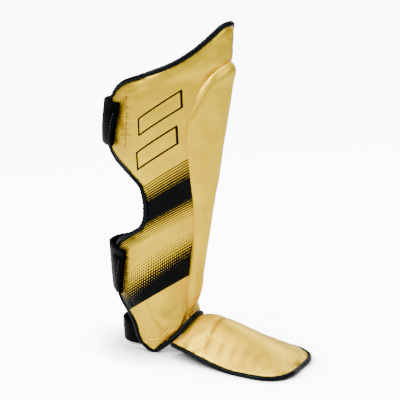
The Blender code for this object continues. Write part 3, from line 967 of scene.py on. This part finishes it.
beside_strap = np.maximum(between(up, *BESIDE_UPPER), between(up, *BESIDE_LOWER))
past_stitch = distance - np.interp(up, STITCH_HEIGHTS, STITCH_ROUND)
sway, rate = PUCKER_SWAY
puckers = np.sin(2 * math.pi * up / PUCKER_PITCH + sway * np.sin(up * rate))
puckers = puckers * np.exp(-((past_stitch / PUCKER_REACH) ** 2)) * beside_strap
sway, rate = MARGIN_SWAY
margin_folds = np.sin(2 * math.pi * past_stitch / MARGIN_PITCH + sway * np.sin(up * rate))
margin_folds = margin_folds * smooth_step(past_stitch, 0, MARGIN_START) * beside_strap

lift = FOLD_DEPTH * folds + PUCKER_DEPTH * puckers + MARGIN_DEPTH * margin_folds
lift = lift - CREASE_DEPTH * crease
places = places + normals * (lift * outside)[:, None] + towards_axis(places) * pinch[:, None]
move_points(shell, places)

# Painted shade: dark in the crease with a soft band above it, in the hollows of the waves, and in stripes
# beside the tape where no pleats are modelled.
shade_reach = np.where(over_crease > 0, CREASE_SHADE, SHADE_BELOW)
crease_shade = np.exp(-((over_crease / shade_reach) ** 2)) * crease_fades
crease_shade = crease_shade * smooth_step(distance, *SHADE_START)
pleat_shade = 0.5 + 0.5 * np.sin(up * PLEAT_RATES[0] + PLEAT_SWAY * np.sin(up * PLEAT_RATES[1]))
darkest = np.max(
    [
        SHADE_OF_CREASE * crease,
        SHADE_ABOVE_CREASE * crease_shade,
        SHADE_OF_FOLDS * valleys(folds) + SHADE_OF_PUCKERS * valleys(puckers),
        SHADE_OF_MARGIN * valleys(margin_folds),
        SHADE_OF_PLEATS * smooth_step(beside_tape, *PLEAT_NEARNESS) * pleat_shade,
    ],
    axis=0,
)
paint(shell, "fold_shade", darkest * outside)
lay_uv(shell, around, up)
face_outward = face_values(shell, "center")[:, :2] - (LEG_AXIS_X, 0)
inner_faces = (face_values(shell, "normal")[:, :2] * face_outward).sum(axis=1) < 0
assign_finishes(shell, printed_gold, lining, inner_faces)
print("shell folds: deepest", round(float(-lift.min()) / MM, 2), "mm")

# %% [markdown]
# ## The raised ridge pad
# A tongue of thick foam runs down the front of the shin under the same leatherette. It comes to a
# blunt ridge in the middle, and a sloping shoulder leads down to the shell. The CAD pad is copied and
# its seat is pushed a little way into the shell, because on the real one the cover is one skin and
# shows no gap.

# %% Shape the ridge pad
SEAT_DEPTH = 2.6 * MM
SEAT_FACING = (-0.35, 0.2)
LOW_END = (0.050, 0.082)
LOW_END_SHADE = 0.40
LOW_END_TUCK = 4.0 * MM
LOW_END_DROP = 5.0 * MM
PAD_PRESSURE = 0.6
PAD_SLACK = 0.02
PAD_CAP = 1.2 * MM

ridge_pad = working_copy("shin_ridge_pad", "ridge_pad_cover")
subdivide_smoothly(ridge_pad, 1)
held = smooth_step(-outward_share(ridge_pad), *SEAT_FACING)
held = np.maximum(held, 1 - smooth_step(points_of(ridge_pad)[:, 2], *LOW_END))
settle_as_cloth(ridge_pad, held, PAD_PRESSURE, PAD_SLACK, PAD_CAP)
subdivide_smoothly(ridge_pad, 1)
places = points_of(ridge_pad)
inward = smooth_step(-outward_share(ridge_pad), *SEAT_FACING)
low_end = 1 - smooth_step(places[:, 2], *LOW_END)
pull = SEAT_DEPTH * inward + LOW_END_TUCK * low_end
places = places + towards_axis(places) * pull[:, None]
places[:, 2] -= LOW_END_DROP * low_end
move_points(ridge_pad, places)
around, up = unrolled(points_of(ridge_pad))
lay_uv(ridge_pad, around, up)
# Painted shade darkens the pad's low end, where it tucks into the shell.
paint(ridge_pad, "fold_shade", LOW_END_SHADE * low_end)
ridge_pad.data.materials.append(plain_gold)
print("ridge pad:", len(ridge_pad.data.polygons), "faces")

# %% [markdown]
# ## The instep pad
# The leaf-shaped pad hangs from the shell's hem by a soft hinge. It is thick over the foot and thin
# round its sewn edge. Near the hinge a crease crosses it where it bends when the foot points.

# %% Shape the instep pad
TOP_FACING = (0.0, 0.3)
UNDERSIDE = -0.05
# The crease bows back from this x by its curve, in 1 / metre, times the square of y.
INSTEP_CREASE_X = 0.0212
INSTEP_CREASE_CURVE = 1.0
INSTEP_CREASE_WIDTH = 3.5 * MM
INSTEP_CREASE_DEPTH = 1.1 * MM
INSTEP_CREASE_END = (0.036, 0.048)
INSTEP_CREASE_SHADE = 0.42
# A fine ripple beside the sewn edge: its y, width and height, and its rates in radians a metre.
RIPPLE_Y = 0.040
RIPPLE_WIDTH = 8.0 * MM
RIPPLE_HEIGHT = 0.25 * MM
RIPPLE_RATES = (420, 60)
RIPPLE_SWAY = 2.0
INSTEP_TAPE_RADIUS = 2.8 * MM
INSTEP_PRESSURE = 0.3
INSTEP_SLACK = 0.004
INSTEP_HINGE_CAP = 0.6 * MM
INSTEP_TOE_CAP = 0.08 * MM
SMOOTH_PAST = (0.022, 0.050)

instep = working_copy("instep_pad", "instep_cover")
crease_sharp_edges(instep, COVER_CREASE)
subdivide_smoothly(instep, 2)
held = 1 - smooth_step(normals_of(instep)[:, 2], *TOP_FACING)
held = np.maximum(held, nearness_to(instep, "instep_binding") > HELD_NEARNESS)
towards_toe = smooth_step(points_of(instep)[:, 0], *SMOOTH_PAST)
most = INSTEP_HINGE_CAP + (INSTEP_TOE_CAP - INSTEP_HINGE_CAP) * towards_toe
settle_as_cloth(instep, held, INSTEP_PRESSURE, INSTEP_SLACK, most)
subdivide_smoothly(instep, 1)
tuck_under(instep, "instep_binding", INSTEP_TAPE_RADIUS)
places = points_of(instep)
normals = normals_of(instep)
upward = smooth_step(normals[:, 2], *TOP_FACING)
across = np.abs(places[:, 1])
crease_x = INSTEP_CREASE_X - INSTEP_CREASE_CURVE * across**2
from_crease = (places[:, 0] - crease_x) / INSTEP_CREASE_WIDTH
crease = np.exp(-(from_crease**2)) * (1 - smooth_step(across, *INSTEP_CREASE_END))
along_rate, across_rate = RIPPLE_RATES
ripple = np.sin(places[:, 0] * along_rate + RIPPLE_SWAY * np.sin(across * across_rate))
ripple = ripple * np.exp(-(((across - RIPPLE_Y) / RIPPLE_WIDTH) ** 2))
lift = RIPPLE_HEIGHT * ripple - INSTEP_CREASE_DEPTH * crease
move_points(instep, places + normals * (lift * upward)[:, None])
# Painted shade darkens the crease across the instep.
paint(instep, "fold_shade", INSTEP_CREASE_SHADE * crease * upward)
lay_uv(instep, places[:, 0], places[:, 1])
assign_finishes(instep, plain_gold, lining, face_values(instep, "normal")[:, 2] < UNDERSIDE)
print("instep pad:", len(instep.data.polygons), "faces")

# %% [markdown]
# ## Binding tape
# The raw edges are wrapped in a narrow black tape, folded in half and sewn through. The CAD tube is
# rounded and made a little fatter, so that it closes over the edge of the cover, and it is pressed
# flat again where it stands on the floor. A slight ripple keeps it from looking like a rubber hose.

# %% Wrap the edges
TAPE_GROWTH = 0.55 * MM
TAPE_RIPPLE = 0.16 * MM
# Two waves make the ripple: radians a metre along x, y and z, and where each starts.
TAPE_WAVES = (((510.0, 430.0, 610.0), 0.0), ((-170.0, 230.0, 190.0), 1.0))


def bind(node, name):
    """A binding from its CAD tube: rounder, slightly fatter and rippled."""
    piece = working_copy(node, name)
    subdivide_smoothly(piece, 2)
    places = points_of(piece)
    first, second = (np.sin(places @ np.array(rates) + start) for rates, start in TAPE_WAVES)
    wave = first * second
    places = places + normals_of(piece) * (TAPE_GROWTH + TAPE_RIPPLE * wave)[:, None]
    places[:, 2] = np.maximum(places[:, 2], 0.0)
    move_points(piece, places)
    piece.data.materials.append(tape)
    print(name + ":", len(piece.data.polygons), "faces")


bind("shell_binding", "shell_binding_tape")
bind("instep_binding", "instep_binding_tape")

# %% [markdown]
# ## Straps and hinge tabs
# The straps are wide ribbed elastic. Each is a flat band, so it keeps creased edges, and its UV map
# follows the band so that the ribs run along it.

# %% Weave the straps
STRAP_CREASE = 0.75
# A lap runs from the strap's end to this many degrees round from the shin.
LAP_ANGLE = 146
LAP_GROWTH = 0.9 * MM
LAP_ROUND = 1.3 * MM
LAP_BULGE = 2.6 * MM
# The powers that shape the bulge: round across the lap and flat along its height.
LAP_DOME, LAP_FLATNESS = 0.7, 6
LAP_FACING = (0.0, 0.5)
NEAR_SIDE, FAR_SIDE = -1, 1
# How much of a strap's width its lap covers.
LAPS = (("upper_calf_strap", 0.88), ("lower_calf_strap", 0.80))


def make_strap(node, name):
    """A strap from its CAD band, with edges that stay square."""
    piece = working_copy(node, name)
    crease_sharp_edges(piece, STRAP_CREASE)
    subdivide_smoothly(piece, 2)
    around, up = unrolled(points_of(piece), from_back=True)
    lay_uv(piece, around, up)
    piece.data.materials.append(webbing)
    return piece


def cut_away(piece, plane_place, keep_towards):
    """Cuts a piece at a plane, keeps the side that the direction points to and closes the cut."""
    take(piece)
    bpy.ops.object.mode_set(mode="EDIT")
    bpy.ops.mesh.select_all(action="SELECT")
    bpy.ops.mesh.bisect(plane_co=plane_place, plane_no=keep_towards, use_fill=True, clear_inner=True)
    bpy.ops.object.mode_set(mode="OBJECT")


def make_lap(node, name, side, height_share):
    """The end of a strap folded back on itself, thicker than the strap and with round edges."""
    piece = working_copy(node, name)
    low, high = points_of(piece)[:, 2].min(), points_of(piece)[:, 2].max()
    reach = math.radians(LAP_ANGLE)
    towards_end = Vector((math.sin(reach), -side * math.cos(reach), 0))
    cut_away(piece, (LEG_AXIS_X, 0, 0), towards_end)
    cut_away(piece, (0, 0, low + height_share * (high - low)), Vector((0, 0, -1)))
    take(piece)
    bpy.ops.object.mode_set(mode="EDIT")
    bpy.ops.mesh.select_all(action="SELECT")
    bpy.ops.transform.shrink_fatten(value=LAP_GROWTH)
    bpy.ops.mesh.select_mode(type="EDGE")
    bpy.ops.mesh.select_all(action="DESELECT")
    bpy.ops.mesh.edges_select_sharp(sharpness=SHARP_EDGE)
    bpy.ops.mesh.bevel(offset=LAP_ROUND, segments=3, affect="EDGES", clamp_overlap=True)
    bpy.ops.mesh.select_mode(type="VERT")
    bpy.ops.object.mode_set(mode="OBJECT")
    subdivide_smoothly(piece, 2)
    places = points_of(piece)
    around, up = unrolled(places, from_back=True)
    across = 2 * (around - around.min()) / np.ptp(around) - 1
    tall = 2 * (up - up.min()) / np.ptp(up) - 1
    bulge = np.clip(1 - across**2, 0, 1) ** LAP_DOME * np.clip(1 - tall**LAP_FLATNESS, 0, 1)
    bulge *= LAP_BULGE * smooth_step(outward_share(piece), *LAP_FACING)
    move_points(piece, places + normals_of(piece) * bulge[:, None])
    lay_uv(piece, around, up)
    piece.data.materials.append(webbing)
    return piece


for strap_name in ("upper_calf_strap", "lower_calf_strap", "heel_strap"):
    strap = make_strap(strap_name, strap_name + "_webbing")
    print(strap.name + ":", len(strap.data.polygons), "faces")
laps = []
for strap_name, height_share in LAPS:
    for side, side_name in ((NEAR_SIDE, "near"), (FAR_SIDE, "far")):
        lap = make_lap(strap_name, f"{strap_name}_lap_{side_name}", side, height_share)
        laps.append((lap, strap_name, side))
        print(lap.name + ":", len(lap.data.polygons), "faces")
for tab_name in ("hinge_tab_near", "hinge_tab_far"):
    make_strap(tab_name, tab_name + "_webbing")

# %% [markdown]
# ## Rows of stitches
# Thread rows hold the wings' folded margins and the strap ends. One stitch is modelled, a short
# thread with round ends, and copied along each row. A row is found by looking in towards the leg's
# axis from outside, so the stitches lie on the surface that they hold, half sunk into it.

# %% Sew the rows
STITCH_LENGTH = 2.6 * MM
STITCH_RADIUS = 0.55 * MM
STITCH_PITCH = 3.6 * MM
STITCH_SIDES = 8
STITCH_BEVEL = 0.6 * STITCH_RADIUS
LOOK_FROM = 0.2
# The lowest and highest stitch of each row in the wings.
WING_ROWS = ((0.060, 0.131), (0.244, 0.306))
LAP_ROW_INSET = 5.0 * MM
LAP_ROW_BOTTOM, LAP_ROW_TOP = 4.0 * MM, 3.0 * MM
LAP_SLICE = 4.0 * MM

deselect_all()
bpy.ops.mesh.primitive_cylinder_add(
    vertices=STITCH_SIDES, radius=STITCH_RADIUS, depth=STITCH_LENGTH
)
stitch = bpy.context.active_object
stitch.name = "stitch_pattern"
bpy.ops.object.mode_set(mode="EDIT")
bpy.ops.mesh.select_all(action="SELECT")
bpy.ops.mesh.normals_make_consistent(inside=False)
bpy.ops.mesh.bevel(offset=STITCH_BEVEL, segments=2, affect="EDGES")
bpy.ops.object.mode_set(mode="OBJECT")
stitch_mesh = stitch.data
bpy.data.objects.remove(stitch)


def on_outside(tree, turn, height):
    """The place and the normal on the outside of a piece at an angle round the leg."""
    away = Vector((math.cos(turn), math.sin(turn), 0))
    start = Vector((LEG_AXIS_X, 0, height)) + away * LOOK_FROM
    place, normal, _, _ = tree.ray_cast(start, -away)
    return place, normal


def sew_row(name, tree, turns, heights, material):
    """A row of stitches along angles and heights on a piece, joined into one object."""
    found = [on_outside(tree, turn, height) for turn, height in zip(turns, heights)]
    found = [(place, normal) for place, normal in found if place is not None]
    copies = []
    for (place, normal), (after, _) in zip(found[:-1], found[1:]):
        along = (after - place).normalized()
        side = along.cross(normal).normalized()
        turned = Matrix((normal, side, along)).transposed().to_4x4()
        turned.translation = (place + after) / 2
        copy = bpy.data.objects.new(name, stitch_mesh.copy())
        copy.data.transform(turned)
        copy.data.materials.clear()
        copy.data.materials.append(material)
        bpy.context.scene.collection.objects.link(copy)
        copies.append(copy)
    take(copies[0])
    for copy in copies:
        copy.select_set(True)
    bpy.ops.object.join()
    row = bpy.context.view_layer.objects.active
    row.name = name
    bpy.ops.object.shade_smooth()
    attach(row, "root")
    return len(copies)


stitches = 0
shell_tree = surface_tree(shell)
for side, side_name in ((NEAR_SIDE, "near"), (FAR_SIDE, "far")):
    for number, (low, high) in enumerate(WING_ROWS):
        heights = np.arange(low, high, STITCH_PITCH)
        round_leg = np.interp(heights, STITCH_HEIGHTS, STITCH_ROUND)
        turns = side * round_leg / np.interp(heights, LEG_HEIGHTS, LEG_RADII)
        row_name = f"wing_stitches_{side_name}_{number + 1}"
        stitches += sew_row(row_name, shell_tree, turns, heights, bronze_thread)
for lap, strap_name, side in laps:
    places = points_of(lap)
    turns = np.abs(np.arctan2(places[:, 1], places[:, 0] - LEG_AXIS_X))
    up = places[:, 2]
    heights = np.arange(up.min() + LAP_ROW_BOTTOM, up.max() - LAP_ROW_TOP, STITCH_PITCH)
    radius = np.interp(heights, LEG_HEIGHTS, LEG_RADII)
    edge = np.array([turns[np.abs(up - height) < LAP_SLICE].min() for height in heights])
    row_turns = side * (edge + LAP_ROW_INSET / radius)
    row_name = lap.name + "_stitches"
    stitches += sew_row(row_name, surface_tree(lap), row_turns, heights, thread)
print("stitches:", stitches)
